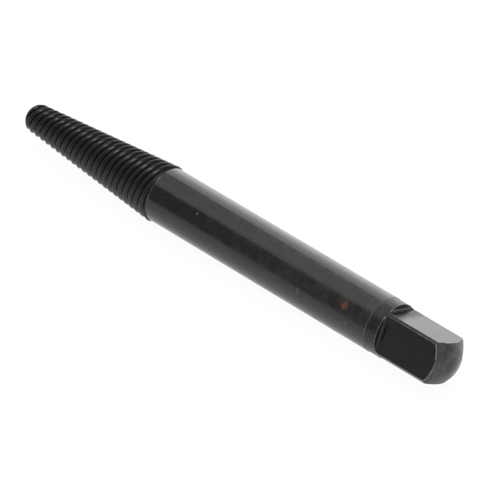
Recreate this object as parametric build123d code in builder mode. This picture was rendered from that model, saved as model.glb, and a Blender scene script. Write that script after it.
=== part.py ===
from build123d import *
from math import asin, atan, cos, degrees, radians, sin, tan
import os

os.makedirs("parts", exist_ok=True)

# A left-hand spiral screw extractor, made from one bar of tool steel and lying on its side.
# X is the tool's axis and points from the tip to the square drive. The origin is on the axis,
# at the shoulders of the square, and Z is up. All sizes are in millimetres and degrees.

# Lengths along the axis
overall_length = 68.2
square_length = 9.2      # from the shoulders to the top of the domed end
collar_length = 1.6      # the narrower band behind the shoulders
spiral_length = 22.3     # from the tip to the largest crest

# Shank and square
shank_diameter = 7.0
collar_step = 0.05       # how far the collar lies below the shank
across_flats = 5.3
shoulder_round = 0.35    # where the flats curve up to their shoulders
square_turn = -25.3      # how far the square is rolled about the axis as the tool lies
square_offset = 0.07     # of the square's own axis from the tool's, away from its upper front corner

# Domed end of the square: a round top, and a flatter round from there to the corners
dome_radius = 3.75
dome_slope = 35.5        # where the two rounds meet, from the end's plane
flatter_radius = 30.0

# Spiral: ridges on a cone, with several starts
crest_rise = 0.17        # how far the crests stand out from the shank at the large end
taper = 5.0              # half the angle of the cone over the crests
groove_taper = 4.6       # half the angle of the cone through the grooves, which get deeper
starts = 4
lead = 3.78              # axial travel of one ridge in a full turn
ridge_height = 0.36      # at the largest crest
ridge_turn = 34.0        # of a crest about the axis, from the top, at the large end
tip_flat_diameter = 0.3
crest_fall = 0.4         # length over which the crests slope down to the shank
groove_fade = 0.5        # length over which the grooves run out towards the shank

# One ridge and its groove in section: how far along the pitch, and what share of the
# ridge's height is missing there
ridge_section = [(0.0, 0.0), (0.16, 0.0), (0.36, 0.3), (0.58, 1.0), (0.80, 0.3)]

# Places along the axis: the tip, the largest crest, and where the crests meet the shank
tip_x = square_length - overall_length
crest_x = tip_x + spiral_length
shank_end_x = crest_x + crest_fall

shank_radius = shank_diameter / 2
collar_radius = shank_radius - collar_step
groove_radius = shank_radius - ridge_height
crest_radius = shank_radius + crest_rise
crest_slope = tan(radians(taper))
groove_slope = tan(radians(groove_taper))
pitch = lead / starts

# The ridges are made too long at both ends, and trimmed with the turned blank
overrun = pitch + 0.2
ridges_start_x = tip_x - overrun
ridges_length = spiral_length + 2 * overrun


def crest_radius_at(x):
    """Radius over the crests at a place along the axis."""
    return crest_radius - crest_slope * (crest_x - x)


def ridge_height_at(x):
    """Height of the ridges at a place along the axis."""
    return ridge_height - (crest_slope - groove_slope) * (crest_x - x)


def make_rail(ridge, place, share, length):
    """One edge of a ridge: a left-hand helix on a cone, shifted along the axis to its place."""
    start_x = ridges_start_x + place * pitch
    cone_angle = degrees(atan(crest_slope - share * (crest_slope - groove_slope)))
    with BuildLine(mode=Mode.PRIVATE) as line:
        Helix(
            pitch=lead / cos(radians(cone_angle)),
            height=length,
            radius=crest_radius_at(start_x) - share * ridge_height_at(start_x),
            center=(start_x, 0, 0),
            direction=(1, 0, 0),
            cone_angle=cone_angle,
            lefthand=True,
        )
    turns_to_crest = (crest_x - ridges_start_x) / lead
    return line.edge().rotate(Axis.X, ridge_turn + 360 * (ridge / starts + turns_to_crest))


def make_ridges():
    """The spiral's surface, open at both ends: helical faces from rail to rail."""
    # A crest's rail is one pitch longer than the others, and the ridges on both sides share it
    crests = [make_rail(ridge, 0, 0, ridges_length + pitch) for ridge in range(starts)]
    faces = []
    for ridge, crest in enumerate(crests):
        next_crest = crests[(ridge + 1) % starts]
        rails = [crest.trim(crest @ 0, make_rail(ridge, 0, 0, ridges_length) @ 1)]
        rails += [make_rail(ridge, place, share, ridges_length) for place, share in ridge_section[1:]]
        rails += [next_crest.trim(make_rail(ridge + 1, 0, 0, pitch) @ 1, next_crest @ 1)]
        faces += [Face.make_surface_from_curves(*pair) for pair in zip(rails, rails[1:])]
    return Shell(faces)


# The blank for the spiral clears the crests by a little and is rounded at the tip
blank_margin = 0.05
blank_tip_radius = crest_radius_at(tip_x) + blank_margin
tip_round = (blank_tip_radius - tip_flat_diameter / 2) * tan(radians(45 + taper / 2))

# Behind the largest crest the blank slopes down, past the shank's surface to the grooves' depth
fall_slope = (crest_radius - shank_radius) / crest_fall
fall_start_x = crest_x - blank_margin / (crest_slope + fall_slope)
fall_end_x = crest_x + (crest_radius - groove_radius) / fall_slope
fade_end_x = shank_end_x - blank_margin

# The dome is an arc that runs into a flatter one, down to the square's corners at the shank's size
dome_edge_x = square_length - dome_radius * (1 - cos(radians(dome_slope)))
dome_edge_radius = dome_radius * sin(radians(dome_slope))
corner_slope = asin(sin(radians(dome_slope)) + (shank_radius - dome_edge_radius) / flatter_radius)
corner_x = dome_edge_x - flatter_radius * (cos(radians(dome_slope)) - cos(corner_slope))

# Each flat is cut on a plane of its own through the square's axis, with the flat's direction as Y
square_centre = Vector(0, square_offset, 0).rotate(Axis.X, square_turn - 45)
flat_planes = [Plane(Location(square_centre, (square_turn + 90 * side, 0, 0))) for side in range(4)]

with BuildPart() as screw_extractor:
    # Turn the blank for the spiral
    with BuildSketch(Plane.XZ) as blank:
        with BuildLine():
            Polyline(
                (tip_x, 0),
                (tip_x, blank_tip_radius),
                (fall_start_x, crest_radius_at(fall_start_x) + blank_margin),
                (fall_end_x, groove_radius),
                (fall_end_x, 0),
                close=True,
            )
        make_face()
        tip_corner = blank.vertices().group_by(Axis.X)[0].sort_by(Axis.Y)[-1]
        fillet(tip_corner, tip_round)
    revolve(axis=Axis.X)

    # Cut it along the ridges and keep what lies inside them
    split(bisect_by=make_ridges(), keep=Keep.ALL)
    add(solids().sort_by(SortBy.VOLUME)[-1], mode=Mode.REPLACE)

    # Shank, collar and domed end, turned from the bar. A cone under the ridges ends the grooves
    with BuildSketch(Plane.XZ):
        with BuildLine():
            Polyline(
                (square_length, 0),
                (fade_end_x - groove_fade, 0),
                (fade_end_x - groove_fade, groove_radius),
                (fade_end_x, shank_radius),
                (-collar_length - collar_step, shank_radius),
                (-collar_length, collar_radius),
                (shoulder_round, collar_radius),
                (shoulder_round, shank_radius),
                (corner_x, shank_radius),
            )
            RadiusArc((corner_x, shank_radius), (dome_edge_x, dome_edge_radius), flatter_radius)
            RadiusArc((dome_edge_x, dome_edge_radius), (square_length, 0), dome_radius)
        make_face()
    revolve(axis=Axis.X)

    # Mill the four flats back to their shoulders
    with BuildSketch(*flat_planes) as flat_cut:
        with Locations((0, across_flats / 2)):
            Rectangle(2 * square_length, shank_diameter, align=Align.MIN)
        shoulder_corner = flat_cut.vertices().sort_by_distance((0, across_flats / 2))[0]
        fillet(shoulder_corner, shoulder_round)
    extrude(amount=shank_diameter, both=True, mode=Mode.SUBTRACT)

screw_extractor.part.label = "screw_extractor"
export_step(screw_extractor.part, "parts/screw_extractor.step")
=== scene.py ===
from math import asin, ceil, cos, pi, radians, sin, tan

import bpy
from bpy.props import FloatProperty, FloatVectorProperty, IntProperty, PointerProperty
from mathutils import Matrix, Vector


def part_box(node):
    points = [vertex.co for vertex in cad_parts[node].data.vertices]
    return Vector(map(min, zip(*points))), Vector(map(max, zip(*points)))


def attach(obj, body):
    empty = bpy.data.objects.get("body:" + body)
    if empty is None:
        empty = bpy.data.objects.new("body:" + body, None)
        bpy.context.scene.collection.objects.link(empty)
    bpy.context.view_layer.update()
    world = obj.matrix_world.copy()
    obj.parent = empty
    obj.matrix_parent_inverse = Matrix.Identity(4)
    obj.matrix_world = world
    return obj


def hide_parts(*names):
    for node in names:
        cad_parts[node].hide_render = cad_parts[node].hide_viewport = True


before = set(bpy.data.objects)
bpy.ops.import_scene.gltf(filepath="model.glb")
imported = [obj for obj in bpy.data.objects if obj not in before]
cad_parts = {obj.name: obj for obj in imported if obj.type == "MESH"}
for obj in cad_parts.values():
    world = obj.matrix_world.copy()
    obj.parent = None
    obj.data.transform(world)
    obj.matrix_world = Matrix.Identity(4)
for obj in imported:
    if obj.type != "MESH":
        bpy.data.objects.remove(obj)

bl_info = {
    "name": "Screw extractor",
    "version": (1, 0, 0),
    "blender": (4, 5, 0),
    "location": "3D View > Sidebar > Extractor",
    "description": "A left-hand spiral screw extractor on a pale table",
    "category": "Object",
}

MM = 0.001
NODE = "screw_extractor"

# One ridge and its groove in section: how far along the pitch, and what share of the ridge's height
# is missing there. The corners are rounded, with a few points for each
RIDGE_SECTION = [(0.0, 0.0), (0.14, 0.0), (0.44, 0.4), (0.59, 1.08), (0.76, 0.4)]
CORNER_POINTS = 3

# Points that lie nearer than this are one, and faces thinner than this are slivers, as shares of the lead
SAME_POINT = 1e-5
SLIVER = 1e-4
# By how much the spiral's blank clears the crests
BLANK_MARGIN = 0.05 * MM
# Weight of the largest faces in the shading, out of 100
LARGE_FACES = 100

# Marks on the shank. Each kind has the size of the lumps in its ragged outline, and for each mark how far
# along the shank it lies, how far round it from the front, and half its length and width, in millimetres
MARKS = {
    "rust_spot": (0.22, [(-5.42, 0.40, 0.62, 0.54)]),
    "nicks": (0.3, [(-34.29, 0.51, 0.12, 0.12), (-28.93, 0.02, 0.07, 0.3), (-12.07, 1.8, 0.07, 0.35),
                    (-4.48, 2.18, 0.07, 0.25)]),
    "dull_marks": (0.5, [(-14.3, -5.1, 0.75, 0.22), (-11.9, -5.0, 0.75, 0.22)]),
}
# Up to which share of its half width a mark is whole, and by which share its outline wanders in and out
MARK_WHOLE = 0.5
MARK_RAGGED = 0.5

# Bright places of the shank's edge at the spiral, partly worn and partly painted highlight: how far round it
# they lie and half their width, in millimetres, and how worn and bright they are
NECK_WEAR_AND_HIGHLIGHT = [(-2.6, 0.6, 0.5), (-1.31, 0.8, 1.0), (0.2, 0.9, 0.5), (1.4, 1.1, 1.0), (3.0, 1.4, 0.6)]

# Where one finish runs into the next: from where to where, in millimetres along the tool
PALER_X = (-36.0, -12.0)
COLLAR_START_X = (-1.66, -1.6)
COLLAR_END_X = (0.3, 0.0)
FLATS_X = (0.2, 0.4)
CORNERS_X = (0.3, 0.5)
DULLER_FLAT_X = (2.6, 0.9)
# The same, from the place where the crests meet the shank
NECK_X = (-0.6, -0.2)
# The same in millimetres under the domed end's surface
DOME_DEPTH = (0.3, 0.1)
# The same in the share of a ridge's height that is missing; the colour goes from the rubbed crests to the
# painted shade of the grooves
CREST_COLOUR = (0.6, 0.0)
CREST_ROUGHNESS = (0.45, 0.95)
# The same in the surface's direction: how far it faces away from the tip, and how far upwards
FACING_TIP = (-0.1, -0.45)
FACING_UP = (0.5, 0.8)
# The part of its range over which noise goes from its low patches to its high ones
NOISE = (0.3, 0.7)
CLOUD_NOISE = (0.35, 0.75)
BREAK_NOISE = (0.36, 0.62)


def mm(name, value, description):
    """A length, given in millimetres and kept in metres."""
    return FloatProperty(name=name, description=description, default=value * MM,
                         precision=6, unit='LENGTH')


def turn(name, value, description):
    """An angle, given in degrees and kept in radians."""
    return FloatProperty(name=name, description=description, default=radians(value),
                         subtype='ANGLE')


def number(name, value, description):
    """A plain number, such as a share or a brightness."""
    return FloatProperty(name=name, description=description, default=value, precision=4)


def count(name, value, description):
    """A whole number."""
    return IntProperty(name=name, description=description, default=value, min=1)


def shade(name, value, description):
    """A colour, as linear red, green and blue."""
    return FloatVectorProperty(name=name, description=description, default=value, subtype='COLOR',
                               size=3, min=0, max=1)


def vector(name, value, description):
    """A place in metres, or a direction."""
    return FloatVectorProperty(name=name, description=description, default=value, subtype='XYZ',
                               size=3, precision=4)


class ExtractorSizes(bpy.types.PropertyGroup):
    """Sizes of the tool. X is its axis, from the tip to the square, and the origin is at the shoulders"""
    overall_length: mm("Overall length", 68.2, "From the tip to the top of the dome")
    square_length: mm("Square length", 9.2, "From the shoulders to the top of the dome")
    collar_length: mm("Collar length", 1.6, "Narrower band behind the shoulders")
    spiral_length: mm("Spiral length", 22.3, "From the tip to the largest crest")
    shank_radius: mm("Shank radius", 3.5, "Of the plain shank")
    collar_step: mm("Collar step", 0.05, "How far the collar lies below the shank")
    across_flats: mm("Across flats", 5.3, "Of the square")
    shoulder_round: mm("Shoulder round", 0.35, "Where the flats curve up to their shoulders")
    square_turn: turn("Square turn", -25.3, "How far the square is rolled about the axis")
    square_offset: mm("Square offset", 0.07, "Of the square's axis from the tool's")
    dome_radius: mm("Dome radius", 3.75, "Round top of the square")
    dome_slope: turn("Dome slope", 35.5, "Where the round top meets the flatter round")
    flatter_radius: mm("Flatter radius", 30.0, "Of the round from the top to the corners")
    front: turn("Front", 131.7, "Direction round the axis that faces the camera, from Y")
    crest_radius: mm("Crest radius", 3.67, "Over the crests at the large end")
    taper: turn("Taper", 5.0, "Half the angle of the cone over the crests")
    groove_taper: turn("Groove taper", 5.0, "Half the angle of the cone through the grooves")
    lead: mm("Lead", 3.78, "Axial travel of one ridge in a full turn")
    starts: count("Starts", 4, "Ridges side by side")
    ridge_height: mm("Ridge height", 0.36, "At the largest crest")
    ridge_turn: turn("Ridge turn", 34.0, "Of a crest about the axis, from the top")
    corner_share: number("Corner share", 0.22, "How much of a ridge's sides its corners round off")
    tip_flat_radius: mm("Tip flat radius", 0.15, "Small flat at the tip")
    crest_fall: mm("Crest fall", 0.4, "Length over which the crests slope down to the shank")
    groove_fade: mm("Groove fade", 0.5, "Length over which the grooves run out")
    neck_gap: mm("Neck gap", 0.08, "From where the crests end to the shank's edge")
    neck_band: mm("Neck band", 0.04, "Narrow ring of faces along that edge, for even shading")
    screw_steps: count("Screw steps", 96, "Steps in one turn of the spiral")
    round_steps: count("Round steps", 160, "Steps round the turned bodies")
    tip_steps: count("Tip steps", 16, "Steps in the round of the tip")
    flatter_steps: count("Flatter steps", 8, "Steps in the dome's flatter round")
    dome_steps: count("Dome steps", 12, "Steps in the dome's round top")
    shoulder_steps: count("Shoulder steps", 10, "Steps in the round at the foot of a flat")
    smooth_angle: turn("Smooth angle", 30.0, "Edges that turn by less than this look smooth")


class ExtractorFinish(bpy.types.PropertyGroup):
    """Colours and roughness of the black oxide and of what shows through it"""
    oxide_dark: shade("Dark oxide", (0.004, 0.004, 0.0043), "Black oxide where it is whole")
    oxide_pale: shade("Pale oxide", (0.0272, 0.0244, 0.0222), "Black oxide where it is thin")
    # The crests are paler where rubbed; the grooves' near-black is partly painted shade, darker than the
    # whole oxide
    crest_oxide: shade("Crest oxide", (0.0052, 0.0049, 0.0048), "Matt black of the spiral's rubbed crests")
    groove_oxide_and_painted_shade: shade("Groove oxide", (0.0008, 0.0008, 0.001), "Matt black of the grooves between them")
    flat_oxide: shade("Flat oxide", (0.0018, 0.0018, 0.0038), "Black of the square's flats")
    dome_dark: shade("Dome dark", (0.023, 0.023, 0.024), "Grey of the domed end")
    dome_pale: shade("Dome pale", (0.096, 0.095, 0.093), "Worn grey of the domed end")
    # Along the edges this bare steel is partly a painted highlight, where rounded edges would catch the light
    bare_steel_and_highlight: shade("Bare steel", (0.32, 0.31, 0.29), "Steel along the worn edges")
    nick_share: number("Nick share", 0.4, "How much bare steel shows in the nicks")
    rust: shade("Rust", (0.11, 0.036, 0.022), "Spot of rust on the shank")

    shank_rough: number("Shank roughness", 0.17, "Of the oiled shank where its oxide is whole")
    pale_rough: number("Pale roughness", 0.36, "Of the shank where its oxide is thin")
    crest_rough: number("Crest roughness", 0.34, "Of the spiral's rubbed crests")
    groove_rough: number("Groove roughness", 0.46, "Of the matt grooves between them")
    back_rough: number("Back roughness", 0.6, "Of the ridges' sides that face the tip")
    neck_rough: number("Neck roughness", 0.2, "How much rougher the ridges are at their ends by the shank")
    collar_rough: number("Collar roughness", 0.28, "Of the collar")
    flat_rough: number("Flat roughness", 0.14, "Of the square's smooth flats where the oxide is whole")
    flat_pale_rough: number("Pale flat roughness", 0.23, "Of the flats where the oxide is thin")
    duller_flat: number("Duller flat", 0.3, "How much rougher the upper flat is near its shoulder")
    dome_rough: number("Dome roughness", 0.42, "Of the domed end, the rust and the dull marks")
    oil_film: number("Oil film", 0.25, "Share of the shank's surface that shines like oil")
    oil_rough: number("Oil roughness", 0.2, "Of that shine")

    paler: number("Paler", 0.5, "How much thinner the oxide gets towards the square")
    grain_size: mm("Grain", 0.16, "Size of the oxide's fine grain")
    grain_change: number("Grain change", 0.3, "How much the grain thins or thickens the oxide")
    mottle_size: mm("Mottle", 1.3, "Size of the paler clouds in the oxide")
    mottle_change: number("Mottle change", 0.25, "How much the clouds thin or thicken the oxide")
    line_size: mm("Turning lines", 0.12, "Width of the fine lines round the tool")
    line_change: number("Line change", 0.05, "How much the lines thin or thicken the oxide")
    line_stretch: number("Line stretch", 0.06, "Width of the lines, as a share of their length")
    line_height: number("Line height", 0.3, "Of the lines, as a share of the grain's height")
    grain_height: mm("Grain height", 0.01, "How far the grain stands up")
    grain_strength: number("Grain strength", 0.3, "How strongly the grain shows in the light")

    # The bright worn edges are partly worn oxide and partly painted highlight, which the sharp edges of the
    # mesh would not catch
    edge_wear_and_highlight: mm("Edge wear", 0.065, "Half the width of the bright worn edges")
    break_size: mm("Break size", 0.7, "Size of the breaks in the worn edges")
    break_wear: number("Break wear", 0.25, "How worn the edges are in those breaks")
    corner_wear: number("Corner wear", 0.3, "How worn the flats' long edges are")
    dome_wear_and_highlight: number("Dome wear", 0.8, "How worn the domed end's edges are in the middle of a flat")
    dome_corner_wear_and_highlight: number("Dome corner wear", 1.2, "How worn they are at the square's corners")
    dome_corner: mm("Dome corner", 0.6, "How far in from the corners those are worn more")
    ring_wear_and_highlight: number("Ring wear", 0.4, "How worn the shank's edge at the collar is")
    neck_wear_and_highlight: number("Neck wear", 0.12, "How worn the shank's edge at the spiral is between its worn places")
    neck_width: number("Neck width", 0.9, "Width of that worn edge, as a share of the others'")


class ExtractorStage(bpy.types.PropertyGroup):
    """Table, lamps and camera"""
    table_size: mm("Table", 4000, "Side of the table")
    table_white: number("Table white", 0.955, "How bright the table looks by itself")
    table_shade: number("Table shade", 0.06, "Grey that takes light and shadow")
    table_rough: number("Table roughness", 0.9, "Of the matt table")
    # As the tool sees it, the table glows with painted light: painted shade on the near side, a painted glow
    # brighter than white on the far side
    table_near_painted_shade: number("Table near", 0.72, "Its brightness in the tool, on the near side")
    table_far_painted_glow: number("Table far", 1.75, "Its brightness in the tool, on the far side")
    near_fall: mm("Near fall", 30, "From the tool to where the near side is dimmest")
    far_rise: mm("Far rise", 60, "From the tool to where the far side is brightest")
    lamp_height: mm("Lamp height", 900, "Of the two soft lamps above the table")
    lamp_width: mm("Lamp width", 500, "Of both lamps, along the tool")
    lamp_aside: mm("Lamp aside", -600, "Place of both lamps along X")
    lamp_back: mm("Lamp back", 50, "How far behind the tool the two lamps meet")
    near_depth: mm("Near lamp depth", 500, "Across the tool")
    near_light: number("Near lamp light", 0.64, "Brightness of the nearer lamp's surface")
    far_depth: mm("Far lamp depth", 550, "Across the tool")
    far_light: number("Far lamp light", 0.52, "Brightness of the lamp behind that")
    panel_distance: mm("Panel distance", 1200, "Of the bright panels behind the tool")
    low_width: mm("Low panel width", 620, "Along the tool")
    low_height: mm("Low panel height", 450, "Of the brighter panel, from the table up")
    low_light: number("Low panel light", 1.4, "Brightness of its surface")
    low_aside: mm("Low panel aside", -760, "Its place along X")
    high_width: mm("High panel width", 900, "Along the tool")
    high_height: mm("High panel height", 1100, "Of the panel above that")
    high_light: number("High panel light", 1.2, "Brightness of its surface")
    high_aside: mm("High panel aside", -1000, "Its place along X")
    strip_width: mm("Strip width", 500, "Along the tool")
    strip_depth: mm("Strip depth", 130, "Across the tool")
    strip_light: number("Strip light", 13.0, "Brightness of the narrow lamp, which only glossy surfaces show")
    strip_distance: mm("Strip distance", 1200, "Of the narrow lamp from the tool's axis")
    strip_lean: turn("Strip lean", 2.5, "Of the narrow lamp behind the tool, from straight above")
    strip_aside: mm("Strip aside", 200, "Its place along X")
    fill_height: mm("Fill height", 1000, "Of the wide lamp that only lights dull surfaces")
    fill_size: mm("Fill size", 1600, "Side of the wide lamp")
    fill_light: number("Fill light", 1.3, "Brightness of the wide lamp's surface")
    room_light: number("Room light", 0.27, "Brightness of the dim room")
    camera_place: vector("Camera place", (0.2965, -0.3388, 0.3800), "Where the camera stands")
    camera_forward: vector("Camera forward", (-0.5319, 0.5632, -0.6324), "Where it looks")
    camera_right: vector("Camera right", (0.7270, 0.6866, 0.0), "To its own right")
    camera_lens: number("Lens", 378.4, "Focal length, in millimetres")
    camera_frame: number("Frame", 36.0, "Width of the camera's frame, in millimetres")
    camera_near: mm("Camera near", 10, "Nothing nearer is seen")
    camera_far: mm("Camera far", 20000, "Nothing farther is seen")


# Modelling steps


def deselect():
    """Leaves edit mode with nothing selected."""
    if bpy.context.mode != 'OBJECT':
        bpy.ops.object.mode_set(mode='OBJECT')
    bpy.ops.object.select_all(action='DESELECT')


def pick(piece):
    """Makes one object the selected and active one."""
    deselect()
    piece.select_set(True)
    bpy.context.view_layer.objects.active = piece


def settle():
    """Bakes the active object's place, turn and scale into its mesh."""
    bpy.ops.object.transform_apply(location=True, rotation=True, scale=True)


def edit_all():
    """Enters edit mode of the active object with all of it selected."""
    bpy.ops.object.mode_set(mode='EDIT')
    bpy.ops.mesh.select_all(action='SELECT')


def outside():
    """Turns the faces of the mesh in edit mode outwards, and leaves edit mode."""
    bpy.ops.mesh.select_all(action='SELECT')
    bpy.ops.mesh.normals_make_consistent(inside=False)
    bpy.ops.object.mode_set(mode='OBJECT')


def turned_body(name, stations, steps):
    """A closed body turned about X: a disc, extruded and resized from each station to the next."""
    deselect()
    x, radius = stations[0]
    bpy.ops.mesh.primitive_circle_add(vertices=steps, radius=radius, fill_type='NGON',
                                      location=(x, 0, 0), rotation=(0, pi / 2, 0))
    body = bpy.context.object
    body.name = name
    settle()
    edit_all()
    for next_x, next_radius in stations[1:]:
        bpy.ops.mesh.extrude_region_move(TRANSFORM_OT_translate={"value": (next_x - x, 0, 0)})
        if next_radius > 0:
            change = next_radius / radius
            bpy.ops.transform.resize(value=(1, change, change), center_override=(next_x, 0, 0))
            radius = next_radius
        else:
            bpy.ops.mesh.merge(type='CENTER')
        x = next_x
    outside()
    return body


def combine(body, other, operation):
    """Joins another body to this one, or cuts it with that, and removes the other."""
    pick(body)
    modifier = body.modifiers.new(operation.lower(), 'BOOLEAN')
    modifier.operation, modifier.solver, modifier.object = operation, 'MANIFOLD', other
    bpy.ops.object.modifier_apply(modifier=modifier.name)
    bpy.data.objects.remove(other)


def places(size):
    """Places along the axis: the tip, the largest crest, and where the crests meet the shank."""
    tip = size.square_length - size.overall_length
    crest = tip + size.spiral_length
    return {"tip": tip, "crest": crest, "shank": crest + size.crest_fall}


def crest_radius_at(size, x):
    """Radius over the crests at a place along the axis."""
    return size.crest_radius + tan(size.taper) * (x - places(size)["crest"])


def square_centre(size):
    """The square's own axis, a little off the tool's."""
    toward = size.square_turn - pi / 4
    return Vector((0, cos(toward), sin(toward))) * size.square_offset


def dome_places(size):
    """Where the domed end's two rounds meet, as X and radius, and the slope at its corners."""
    edge_x = size.square_length - size.dome_radius * (1 - cos(size.dome_slope))
    edge_radius = size.dome_radius * sin(size.dome_slope)
    corner_slope = asin(sin(size.dome_slope) + (size.shank_radius - edge_radius) / size.flatter_radius)
    return edge_x, edge_radius, corner_slope


def ridge_outline(size, pitch):
    """Outline of the ridges along one lead, as X and Z from the first crest, with rounded corners."""
    corners = [Vector((pitch * (ridge + place), -size.ridge_height * missing))
               for ridge in range(-1, size.starts + 1) for place, missing in RIDGE_SECTION]
    outline = []
    for before, corner, after in zip(corners, corners[1:], corners[2:]):
        start, end = (corner.lerp(beside, size.corner_share) for beside in (before, after))
        outline += [start, (start + 2 * corner + end) / 4, end]
    # One lead exactly, from the start of one crest to the start of the same crest after a turn
    first = CORNER_POINTS * (len(RIDGE_SECTION) - 1)
    return outline[first:first + CORNER_POINTS * len(RIDGE_SECTION) * size.starts + 1]


def make_ridges(size):
    """The spiral, too long at both ends: one lead of its outline, screwed round and tapered."""
    at = places(size)
    pitch = size.lead / size.starts
    # The outline starts at a crest straight above the axis, whole leads before the tip
    outline = ridge_outline(size, pitch)
    first = at["crest"] + (size.ridge_turn / (2 * pi)) * size.lead + outline[0].x
    leads = ceil((first - at["tip"] + pitch) / size.lead) + 1
    first -= leads * size.lead

    # It is drawn out from a single point
    deselect()
    bpy.ops.mesh.primitive_plane_add(size=MM, location=(first, 0, size.crest_radius + outline[0].y))
    ridges = bpy.context.object
    ridges.name = "spiral"
    settle()
    edit_all()
    bpy.ops.mesh.merge(type='CENTER')
    for point, after in zip(outline, outline[1:]):
        bpy.ops.mesh.extrude_region_move(
            TRANSFORM_OT_translate={"value": (after.x - point.x, 0, after.y - point.y)})
    bpy.ops.object.mode_set(mode='OBJECT')

    same_point = size.lead * SAME_POINT
    screw = ridges.modifiers.new("screw", 'SCREW')
    screw.axis, screw.angle, screw.screw_offset = 'X', -2 * pi, size.lead
    screw.iterations = leads + 1
    screw.steps = screw.render_steps = size.screw_steps
    screw.use_merge_vertices, screw.merge_threshold = True, same_point
    bpy.ops.object.modifier_apply(modifier=screw.name)
    edit_all()
    bpy.ops.mesh.remove_doubles(threshold=same_point)
    # Both ends are cut off and closed, a little outside the ends of the blank
    for x, side in ((at["tip"] - pitch / 2, -1), (at["shank"] + pitch / 4, 1)):
        bpy.ops.mesh.select_all(action='SELECT')
        bpy.ops.mesh.bisect(plane_co=(x, 0, 0), plane_no=(side, 0, 0), use_fill=True,
                            clear_outer=True, threshold=same_point)
    outside()
    # Crests and grooves close in towards the tip, each at an angle of its own. An even taper
    # would flatten the ridges there
    deeper = tan(size.taper) - tan(size.groove_taper)
    for vertex in ridges.data.vertices:
        radius, before = vertex.co.yz.length, at["crest"] - vertex.co.x
        missing = (size.crest_radius - radius) / size.ridge_height
        depth = size.ridge_height - before * deeper
        vertex.co.yz *= (crest_radius_at(size, vertex.co.x) - missing * depth) / radius
    return ridges


def make_blank(size):
    """What the spiral was made from: a cone with a rounded tip, which clears the crests by a little."""
    at = places(size)
    half = size.taper / 2
    tip_radius = crest_radius_at(size, at["tip"]) + BLANK_MARGIN
    tip_round = (tip_radius - size.tip_flat_radius) * tan(pi / 4 + half)
    # The round starts on the tip's flat and ends where it meets the cone
    centre = (at["tip"] + tip_round, size.tip_flat_radius)
    slopes = [(pi / 2 - size.taper) * step / size.tip_steps for step in range(size.tip_steps + 1)]
    stations = [(centre[0] - tip_round * cos(slope), centre[1] + tip_round * sin(slope))
                for slope in slopes]
    # At the large end the cone slopes down past the shank's surface to the grooves' depth
    fall = (size.crest_radius - size.shank_radius) / size.crest_fall
    fall_start = at["crest"] - BLANK_MARGIN / (tan(size.taper) + fall)
    groove_radius = size.shank_radius - size.ridge_height
    fall_end = at["crest"] + (size.crest_radius - groove_radius) / fall
    stations += [(fall_start, crest_radius_at(size, fall_start) + BLANK_MARGIN), (fall_end, groove_radius)]
    return turned_body("blank", stations, size.round_steps)


def make_bar(size):
    """Shank, collar and dome, turned from the bar. A cone under the ridges ends the grooves."""
    fade_end = places(size)["shank"] + size.neck_gap
    collar_radius = size.shank_radius - size.collar_step
    edge_x, edge_radius, corner_slope = dome_places(size)
    flatter = [corner_slope + (size.dome_slope - corner_slope) * step / size.flatter_steps
               for step in range(size.flatter_steps + 1)]
    top = [size.dome_slope * (1 - step / size.dome_steps) for step in range(1, size.dome_steps + 1)]
    stations = [
        (fade_end - size.groove_fade, size.shank_radius - size.ridge_height),
        (fade_end, size.shank_radius),
        (fade_end + size.neck_band, size.shank_radius),
        (-size.collar_length - size.collar_step, size.shank_radius),
        (-size.collar_length, collar_radius),
        (size.shoulder_round, collar_radius),
        (size.shoulder_round, size.shank_radius),
    ]
    stations += [(edge_x - size.flatter_radius * (cos(size.dome_slope) - cos(slope)),
                  edge_radius + size.flatter_radius * (sin(slope) - sin(size.dome_slope)))
                 for slope in flatter]
    stations += [(size.square_length - size.dome_radius * (1 - cos(slope)), size.dome_radius * sin(slope))
                 for slope in top]
    return turned_body("bar", stations, size.round_steps)


def cut_flats(size, bar):
    """Mills the four flats back to their shoulders, each with a round at its foot."""
    # The cutter is much larger than what it takes away
    block = 4 * size.shank_radius
    half = size.across_flats / 2
    for side in range(4):
        deselect()
        bpy.ops.mesh.primitive_cube_add(size=block, location=(block / 2, half + block / 2, 0))
        cutter = bpy.context.object
        settle()
        # It is rounded along its edge at the foot of the flat
        at_foot = [vertex.co.x < block / 4 and vertex.co.y < half + block / 4
                   for vertex in cutter.data.vertices]
        for vertex in cutter.data.vertices:
            vertex.select = at_foot[vertex.index]
        for edge in cutter.data.edges:
            edge.select = all(at_foot[end] for end in edge.vertices)
        for face in cutter.data.polygons:
            face.select = False
        bpy.ops.object.mode_set(mode='EDIT')
        bpy.ops.mesh.bevel(offset=size.shoulder_round, segments=size.shoulder_steps, affect='EDGES')
        bpy.ops.object.mode_set(mode='OBJECT')
        cutter.matrix_world = Matrix.Translation(square_centre(size)) @ Matrix.Rotation(
            size.square_turn + side * pi / 2, 4, 'X')
        bpy.context.view_layer.update()
        combine(bar, cutter, 'DIFFERENCE')


def clear_slivers(size):
    """Clears the slivers that the cuts leave in the active object, which are too small to show."""
    edit_all()
    bpy.ops.mesh.remove_doubles(threshold=size.lead * SLIVER)
    bpy.ops.mesh.dissolve_degenerate(threshold=size.lead * SLIVER)
    outside()


def smooth(size, body):
    """Shades the round faces smoothly, and keeps the flat ones even."""
    pick(body)
    bpy.ops.object.shade_smooth_by_angle(angle=size.smooth_angle)
    modifier = body.modifiers.new("even_normals", 'WEIGHTED_NORMAL')
    modifier.weight, modifier.keep_sharp = LARGE_FACES, True
    bpy.ops.object.modifier_apply(modifier=modifier.name)


# Finish. In the tool's shader groups all lengths are in millimetres

# What the finish knows of a point on the tool: its place, how far along the tool it lies, how far from the
# axis, how far from the square's axis towards the nearest flat, and how far round the shank from the front
PLACE_SOCKETS = {"Place": 'Vector', "X": 'Float', "Radius": 'Float', "Flat": 'Float', "Round": 'Float'}


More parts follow.
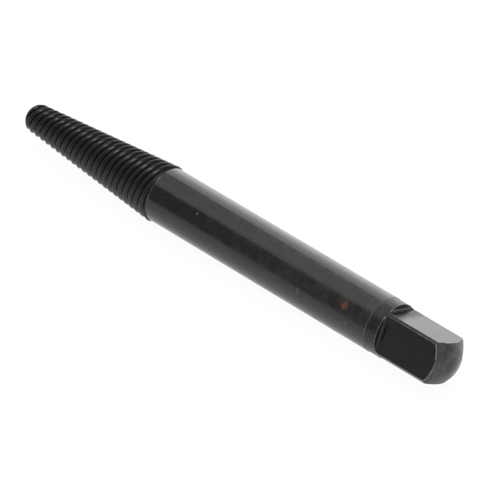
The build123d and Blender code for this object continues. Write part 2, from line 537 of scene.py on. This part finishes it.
class Graph:
    """Adds nodes to one tree, each fed with values or with other nodes' outputs."""

    def __init__(self, tree):
        """Starts on the tree of a material or a group."""
        self.tree = tree

    def feed(self, socket, value):
        """Links an output to a socket, or sets its value; None leaves it as it is."""
        if isinstance(value, bpy.types.NodeSocket):
            self.tree.links.new(value, socket)
        elif value is not None:
            if socket.type == 'RGBA' and len(value) == 3:
                value = (*value, 1)
            socket.default_value = value

    def node(self, kind, *values, output=None, **settings):
        """Adds a node, feeds its sockets in their order and gives the named output, or else its first."""
        node = self.tree.nodes.new("ShaderNode" + kind)
        for name, value in settings.items():
            setattr(node, name, value)
        for socket, value in zip([socket for socket in node.inputs if socket.enabled], values):
            self.feed(socket, value)
        return next(socket for socket in node.outputs if socket.enabled and output in (None, socket.name))

    def part(self, whole, axis):
        """The X, Y or Z of a place or a direction."""
        return self.node("SeparateXYZ", whole, output=axis)

    def maths(self, operation, *values):
        """One arithmetic step with one to three values."""
        return self.node("Math", *values, operation=operation)

    def step(self, value, start, end, low=0.0, high=1.0):
        """A smooth step from low to high, as a value goes from start to end."""
        return self.node("MapRange", value, start, end, low, high, interpolation_type='SMOOTHSTEP')

    def spread(self, noise, change, span=NOISE):
        """Noise as a change up or down by a given amount."""
        return self.step(noise, *span, -change, change)

    def band(self, value, middle, half):
        """1 where a value is at the middle, 0 from half a width away."""
        away = self.maths('ABSOLUTE', self.maths('SUBTRACT', value, middle))
        return self.step(away, half, 0)

    def product(self, first, *others):
        """All the values multiplied."""
        for other in others:
            first = self.maths('MULTIPLY', first, other)
        return first

    def most(self, first, *others):
        """The largest of the values."""
        for other in others:
            first = self.maths('MAXIMUM', first, other)
        return first

    def blend(self, factor, first, second):
        """A colour between two others."""
        return self.node("Mix", factor, first, second, data_type='RGBA')

    def noise(self, place, size, detail):
        """Soft noise with lumps of a given size."""
        return self.node("TexNoise", place, 1 / size, detail)

    def group(self, tree, **values):
        """Uses a shader group, and gives its outputs by name."""
        node = self.tree.nodes.new("ShaderNodeGroup")
        node.node_tree = tree
        for name, value in values.items():
            self.feed(node.inputs[name], value)
        return node.outputs


def new_group(name, inputs, outputs):
    """An empty shader group with named sockets: its graph, what it is given and what it puts out."""
    tree = bpy.data.node_groups.new(name, 'ShaderNodeTree')
    for sockets, way in ((inputs, 'INPUT'), (outputs, 'OUTPUT')):
        for socket, kind in sockets.items():
            tree.interface.new_socket(socket, in_out=way, socket_type="NodeSocket" + kind)
    given, result = tree.nodes.new("NodeGroupInput"), tree.nodes.new("NodeGroupOutput")
    return Graph(tree), given.outputs, result.inputs


def place_group(size):
    """Where a point lies on the tool."""
    graph, _, result = new_group("tool_place", {}, PLACE_SOCKETS)
    local = graph.node("TexCoord", output="Object")
    place = graph.node("VectorMath", local, (1 / MM,) * 3, operation='MULTIPLY')
    graph.feed(result["Place"], place)
    graph.feed(result["X"], graph.part(place, "X"))
    across = graph.node("VectorMath", place, (0, 1, 1), operation='MULTIPLY')
    graph.feed(result["Radius"], graph.node("VectorMath", across, operation='LENGTH'))
    turned = graph.node("Mapping", place, None, (size.front, 0, 0), vector_type='TEXTURE')
    angle = graph.maths('ARCTAN2', graph.part(turned, "Z"), graph.part(turned, "Y"))
    graph.feed(result["Round"], graph.maths('MULTIPLY', angle, size.shank_radius / MM))
    squared = graph.node("Mapping", place, tuple(square_centre(size) / MM), (size.square_turn, 0, 0),
                         vector_type='TEXTURE')
    away = graph.node("VectorMath", squared, operation='ABSOLUTE')
    graph.feed(result["Flat"], graph.most(graph.part(away, "Y"), graph.part(away, "Z")))
    return graph.tree


def wear_and_highlight_group(size, finish):
    """Bright lines along the edges, partly where the oxide is worn through and partly painted highlight, and
    the part on the domed end.
    """
    graph, given, result = new_group("tool_wear_and_highlight", PLACE_SOCKETS, {"Worn": 'Float', "Dome": 'Float'})
    x, radius, flat = given["X"], given["Radius"], given["Flat"]
    half, wear = size.across_flats / 2 / MM, finish.edge_wear_and_highlight / MM
    shank, collar = size.shank_radius / MM, (size.shank_radius - size.collar_step) / MM
    # How deep a point lies under the domed end's flatter round, taken as a cone
    edge_x, edge_radius, slope = dome_places(size)
    lean = tan((slope + size.dome_slope) / 2)
    depth = graph.maths('SUBTRACT', (edge_x + lean * edge_radius) / MM,
                        graph.maths('MULTIPLY_ADD', radius, lean, x))

    on_flat = graph.band(flat, half, wear)
    shoulder = graph.product(graph.band(x, 0.0, wear), graph.step(radius, collar - wear, collar),
                             graph.step(flat, half + wear, half + 2 * wear))
    # The long edges of the flats, along the square's round corners
    corners = graph.product(on_flat, graph.step(radius, shank - wear, shank - wear / 4),
                            graph.step(x, *CORNERS_X), finish.corner_wear)
    # The bright edge of the domed end, worn and partly painted highlight, is strongest at its corners
    dome = graph.product(on_flat, graph.step(depth, 2 * wear, 0.0),
                         graph.step(radius, shank - finish.dome_corner / MM, shank,
                                    finish.dome_wear_and_highlight, finish.dome_corner_wear_and_highlight))
    ring_x = -(size.collar_length + size.collar_step) / MM
    ring = graph.product(graph.band(x, ring_x, wear), finish.ring_wear_and_highlight)
    broken = graph.step(graph.noise(given["Place"], finish.break_size / MM, detail=3.0), *BREAK_NOISE,
                        finish.break_wear, 1.0)
    edges = graph.product(graph.most(shoulder, corners, dome, ring), broken)

    # Bright places along the shank's edge at the spiral, partly worn and partly painted highlight
    patches = [graph.product(graph.band(given["Round"], middle, wide), worn)
               for middle, wide, worn in NECK_WEAR_AND_HIGHLIGHT]
    neck_x = (places(size)["shank"] + size.neck_gap) / MM
    neck = graph.product(graph.band(x, neck_x, finish.neck_width * wear),
                         graph.step(radius, shank - wear, shank), graph.most(finish.neck_wear_and_highlight, *patches))
    graph.feed(result["Worn"], graph.most(neck, edges))
    graph.feed(result["Dome"], graph.product(graph.step(flat, half - wear / 4, half - wear),
                                             graph.step(depth, *DOME_DEPTH)))
    return graph.tree


def oxide_group(finish):
    """Black oxide: grain, turning lines, and paler clouds that get stronger towards the square."""
    graph, given, result = new_group("black_oxide", {"Place": 'Vector', "X": 'Float'},
                                     {"Pale": 'Float', "Grain": 'Float'})
    grain = graph.noise(given["Place"], finish.grain_size / MM, detail=2.0)
    clouds = graph.noise(given["Place"], finish.mottle_size / MM, detail=4.0)
    # Lines that the turning left: noise drawn out round the axis
    stretch = (1.0, finish.line_stretch, finish.line_stretch)
    drawn = graph.node("VectorMath", given["Place"], stretch, operation='MULTIPLY')
    lines = graph.noise(drawn, finish.line_size / MM, detail=3.0)

    pale = graph.step(given["X"], *PALER_X, 0.0, finish.paler)
    for change in (graph.spread(clouds, finish.mottle_change, CLOUD_NOISE),
                   graph.spread(grain, finish.grain_change), graph.spread(lines, finish.line_change)):
        pale = graph.maths('ADD', pale, change)
    graph.feed(result["Pale"], graph.node("Clamp", pale))
    graph.feed(result["Grain"], graph.maths('MULTIPLY_ADD', lines, finish.line_height, grain))
    return graph.tree


def marks_group(name, ragged, marks):
    """Small marks on the shank, which fade towards their ragged outlines."""
    graph, given, result = new_group(name, {"Place": 'Vector', "X": 'Float', "Round": 'Float'},
                                     {"Mask": 'Float'})
    uneven = graph.spread(graph.noise(given["Place"], ragged, detail=3.0), MARK_RAGGED)
    masks = []
    for x, around, half_x, half_around in marks:
        aside = graph.maths('DIVIDE', graph.maths('SUBTRACT', given["X"], x), half_x)
        across = graph.maths('DIVIDE', graph.maths('SUBTRACT', given["Round"], around), half_around)
        away = graph.node("VectorMath", graph.node("CombineXYZ", aside, across, 0.0), operation='LENGTH')
        masks.append(graph.step(graph.maths('ADD', away, uneven), 1.0, MARK_WHOLE))
    graph.feed(result["Mask"], graph.most(*masks))
    return graph.tree


def missing_height(graph, size, at):
    """What share of a ridge's height is missing: none on the crests, all of it in the grooves."""
    crest_x = places(size)["crest"]
    slope = tan(size.taper)
    deeper = slope - tan(size.groove_taper)
    crest = graph.maths('MULTIPLY_ADD', at["X"], slope, (size.crest_radius - slope * crest_x) / MM)
    height = graph.maths('MULTIPLY_ADD', at["X"], deeper, (size.ridge_height - deeper * crest_x) / MM)
    return graph.maths('DIVIDE', graph.maths('SUBTRACT', crest, at["Radius"]), height)


def find_zones(graph, size, finish):
    """All that the finish depends on at a point: its place, oxide and wear, and the parts and marks there."""
    at = graph.group(place_group(size))
    zones = {name: at[name] for name in PLACE_SOCKETS}
    wear = graph.group(wear_and_highlight_group(size, finish), **zones)
    oxide = graph.group(oxide_group(finish), Place=at["Place"], X=at["X"])
    for name, (ragged, marks) in MARKS.items():
        group = marks_group(name, ragged, marks)
        zones[name] = graph.group(group, Place=at["Place"], X=at["X"], Round=at["Round"])["Mask"]
    # The worn mask is the bright edges, partly worn oxide and partly painted highlight
    zones.update({"worn": wear["Worn"], "dome": wear["Dome"], "pale": oxide["Pale"], "grain": oxide["Grain"]})

    shank_x = places(size)["shank"] / MM
    zones["spiral"] = graph.step(at["X"], shank_x + size.neck_gap / MM, shank_x)
    zones["neck"] = graph.step(at["X"], *(shank_x + x for x in NECK_X))
    zones["collar"] = graph.product(graph.step(at["X"], *COLLAR_START_X), graph.step(at["X"], *COLLAR_END_X))
    zones["flats"] = graph.step(at["X"], *FLATS_X)
    zones["missing"] = missing_height(graph, size, at)
    return zones


def steel_colour(graph, finish, zones):
    """Black oxide, deeper on the flats and, as painted shade, in the grooves, then the grey dome, rust and
    bare steel, which along the edges is partly a painted highlight.
    """
    colour = graph.blend(zones["pale"], finish.oxide_dark, finish.oxide_pale)
    # Rubbed crests are paler, and the grooves are painted darker than the oxide as the shade in them
    ridges = graph.blend(graph.step(zones["missing"], *CREST_COLOUR), finish.groove_oxide_and_painted_shade, finish.crest_oxide)
    dome = graph.blend(zones["pale"], finish.dome_dark, finish.dome_pale)
    # Bare steel shows in the nicks and along the edges, where it is partly a painted highlight
    bare = graph.most(zones["worn"], graph.product(zones["nicks"], finish.nick_share))
    for zone, zone_colour in ((zones["spiral"], ridges), (zones["flats"], finish.flat_oxide),
                              (zones["dome"], dome), (zones["rust_spot"], finish.rust),
                              (bare, finish.bare_steel_and_highlight)):
        colour = graph.blend(zone, colour, zone_colour)
    return colour


def steel_roughness(graph, finish, zones):
    """Smooth on the oiled shank and the flats, matt on the spiral, and dull on the dome and the marks."""
    normal = graph.node("TexCoord", output="Normal")
    rough = graph.step(zones["pale"], 0.0, 1.0, finish.shank_rough, finish.pale_rough)
    ridges = graph.step(zones["missing"], *CREST_ROUGHNESS, finish.crest_rough, finish.groove_rough)
    ridges = graph.node("Mix", graph.step(graph.part(normal, "X"), *FACING_TIP), ridges, finish.back_rough)
    ridges = graph.maths('MULTIPLY_ADD', zones["neck"], finish.neck_rough, ridges)
    flats = graph.step(zones["pale"], 0.0, 1.0, finish.flat_rough, finish.flat_pale_rough)
    upper = graph.product(graph.step(zones["X"], *DULLER_FLAT_X),
                          graph.step(graph.part(normal, "Z"), *FACING_UP))
    flats = graph.maths('MULTIPLY_ADD', upper, finish.duller_flat, flats)
    dull = graph.most(zones["dome"], zones["rust_spot"], zones["dull_marks"])
    for zone, zone_rough in ((zones["spiral"], ridges), (zones["collar"], finish.collar_rough),
                             (zones["flats"], flats), (dull, finish.dome_rough)):
        rough = graph.node("Mix", zone, rough, zone_rough)
    return rough


def black_steel(size, finish):
    """The tool's material: black oxide with worn edges that are partly painted highlight, a matt spiral with
    painted shade in its grooves and a grey domed end.
    """
    material = bpy.data.materials.new("black_steel")
    material.use_nodes = True
    shader = material.node_tree.nodes["Principled BSDF"]
    graph = Graph(material.node_tree)
    zones = find_zones(graph, size, finish)
    graph.feed(shader.inputs["Base Color"], steel_colour(graph, finish, zones))
    graph.feed(shader.inputs["Roughness"], steel_roughness(graph, finish, zones))
    # The oil shines on the shank and on the sides of the square, where they aren't worn, painted with edge
    # highlights, or rusty
    dry = graph.most(*(zones[name] for name in ("spiral", "collar", "dome", "worn", "rust_spot")))
    graph.feed(shader.inputs["Coat Weight"], graph.step(dry, 0.0, 1.0, finish.oil_film, 0.0))
    shader.inputs["Coat Roughness"].default_value = finish.oil_rough
    bump = graph.node("Bump", finish.grain_strength, finish.grain_height, None, zones["grain"])
    graph.feed(shader.inputs["Normal"], bump)
    return material


class EXTRACTOR_OT_body(bpy.types.Operator):
    """Turn, mill and grind the tool, and give it its black finish"""
    bl_idname = "extractor.body"
    bl_label = "Body"

    def execute(self, context):
        """Makes the tool as one closed body in place of the plain one."""
        size = context.scene.extractor_sizes
        body = make_bar(size)
        cut_flats(size, body)
        spiral = make_ridges(size)
        combine(spiral, make_blank(size), 'INTERSECT')
        combine(body, spiral, 'UNION')
        clear_slivers(size)
        body.name = body.data.name = "extractor"
        smooth(size, body)
        body.data.materials.clear()
        body.data.materials.append(black_steel(size, context.scene.extractor_finish))
        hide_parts(NODE)
        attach(body, "root")
        return {'FINISHED'}


# Stage


def table_material(stage):
    """Near white to the camera; in the tool it glows with painted light, dimmer on the near side as painted
    shade than on the far side.
    """
    material = bpy.data.materials.new("table_white")
    material.use_nodes = True
    shader = material.node_tree.nodes["Principled BSDF"]
    shader.inputs["Base Color"].default_value = (stage.table_shade,) * 3 + (1,)
    shader.inputs["Roughness"].default_value = stage.table_rough
    shader.inputs["Specular IOR Level"].default_value = 0.0
    shader.inputs["Emission Color"].default_value = (1, 1, 1, 1)
    graph = Graph(material.node_tree)
    back = graph.part(graph.node("TexCoord", output="Object"), "Y")
    # Painted light on the table for all but camera rays: painted shade near the tool, a painted glow far
    # behind it
    painted_glow = graph.node("MapRange", back, -stage.near_fall, stage.far_rise, stage.table_near_painted_shade,
                         stage.table_far_painted_glow, interpolation_type='SMOOTHERSTEP')
    seen = graph.node("LightPath", output="Is Camera Ray")
    graph.feed(shader.inputs["Emission Strength"], graph.node("Mix", seen, painted_glow, stage.table_white))
    return material


def lay_table(stage, lowest):
    """The pale table under the tool."""
    deselect()
    bpy.ops.mesh.primitive_plane_add(size=stage.table_size, location=(0, 0, lowest))
    table = bpy.context.object
    table.name = "table"
    table.data.materials.append(table_material(stage))


def soft_lamp(name, light, wide, high, location, rotation):
    """A soft lamp of even brightness over its whole surface."""
    bpy.ops.object.light_add(type='AREA', location=location, rotation=rotation)
    lamp = bpy.context.object
    lamp.name = name
    lamp.data.shape = 'RECTANGLE'
    lamp.data.size, lamp.data.size_y = wide, high
    # A lamp's watts for a surface of brightness 1 are four times its area
    lamp.data.energy = 4 * wide * high * light
    return lamp


def hang_lamps(stage, lowest):
    """Two lamps above the table, one behind the other, two panels behind it, a narrow lamp and a wide one."""
    for name, light, deep, back in (
            ("near_lamp", stage.near_light, stage.near_depth, stage.lamp_back - stage.near_depth / 2),
            ("far_lamp", stage.far_light, stage.far_depth, stage.lamp_back + stage.far_depth / 2)):
        location = (stage.lamp_aside, back, lowest + stage.lamp_height)
        soft_lamp(name, light, stage.lamp_width, deep, location, (0, 0, 0))
    # The panels stand one on the other
    foot = lowest
    for name, aside, wide, high, light in (
            ("low_panel", stage.low_aside, stage.low_width, stage.low_height, stage.low_light),
            ("high_panel", stage.high_aside, stage.high_width, stage.high_height, stage.high_light)):
        location = (aside, stage.panel_distance, foot + high / 2)
        soft_lamp(name, light, wide, high, location, (-pi / 2, 0, 0))
        foot += high
    location = (stage.strip_aside, stage.strip_distance * sin(stage.strip_lean),
                stage.strip_distance * cos(stage.strip_lean))
    strip = soft_lamp("strip", stage.strip_light, stage.strip_width, stage.strip_depth, location,
                      (-stage.strip_lean, 0, 0))
    strip.visible_diffuse = False
    fill = soft_lamp("fill", stage.fill_light, stage.fill_size, stage.fill_size,
                     (0, 0, lowest + stage.fill_height), (0, 0, 0))
    fill.visible_glossy = False


def dim_room(scene, stage):
    """The dim room round the table."""
    world = bpy.data.worlds.new("room")
    world.use_nodes = True
    world.node_tree.nodes["Background"].inputs["Color"].default_value = (stage.room_light,) * 3 + (1,)
    scene.world = world


def place_camera(scene, stage):
    """The camera, from above the near side and the square's end, without roll."""
    bpy.ops.object.camera_add(location=stage.camera_place)
    camera = bpy.context.object
    forward = Vector(stage.camera_forward).normalized()
    right = Vector(stage.camera_right).normalized()
    up = right.cross(forward)
    camera.matrix_world = Matrix.Translation(camera.location) @ Matrix(
        (right, up, -forward)).transposed().to_4x4()
    camera.data.lens = stage.camera_lens
    camera.data.sensor_width = stage.camera_frame
    camera.data.clip_start, camera.data.clip_end = stage.camera_near, stage.camera_far
    scene.camera = camera


class EXTRACTOR_OT_stage(bpy.types.Operator):
    """Lay the pale table, hang the soft lamps and place the camera"""
    bl_idname = "extractor.stage"
    bl_label = "Stage"

    def execute(self, context):
        """Sets up all that is round the tool."""
        stage = context.scene.extractor_stage
        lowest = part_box(NODE)[0].z
        lay_table(stage, lowest)
        hang_lamps(stage, lowest)
        dim_room(context.scene, stage)
        place_camera(context.scene, stage)
        context.scene.view_settings.view_transform = 'Standard'
        return {'FINISHED'}


class EXTRACTOR_PT_panel(bpy.types.Panel):
    """Lists the steps that make the tool and its stage"""
    bl_idname = "EXTRACTOR_PT_panel"
    bl_label = "Screw extractor"
    bl_space_type = 'VIEW_3D'
    bl_region_type = 'UI'
    bl_category = "Extractor"

    def draw(self, context):
        """Shows a button for each step."""
        for step in STEPS:
            self.layout.operator(step.bl_idname)


STEPS = (EXTRACTOR_OT_body, EXTRACTOR_OT_stage)
SETTINGS = {"extractor_sizes": ExtractorSizes, "extractor_finish": ExtractorFinish,
            "extractor_stage": ExtractorStage}
CLASSES = (*SETTINGS.values(), *STEPS, EXTRACTOR_PT_panel)


def register():
    """Adds the classes, and the settings to every scene."""
    for cls in CLASSES:
        bpy.utils.register_class(cls)
    for name, settings in SETTINGS.items():
        setattr(bpy.types.Scene, name, PointerProperty(type=settings))


def unregister():
    """Takes the settings and the classes away again."""
    for name in SETTINGS:
        delattr(bpy.types.Scene, name)
    for cls in reversed(CLASSES):
        bpy.utils.unregister_class(cls)


def main():
    """Makes the tool and its stage."""
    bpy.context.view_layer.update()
    register()
    bpy.ops.extractor.body()
    bpy.ops.extractor.stage()


if __name__ == "__main__":
    main()
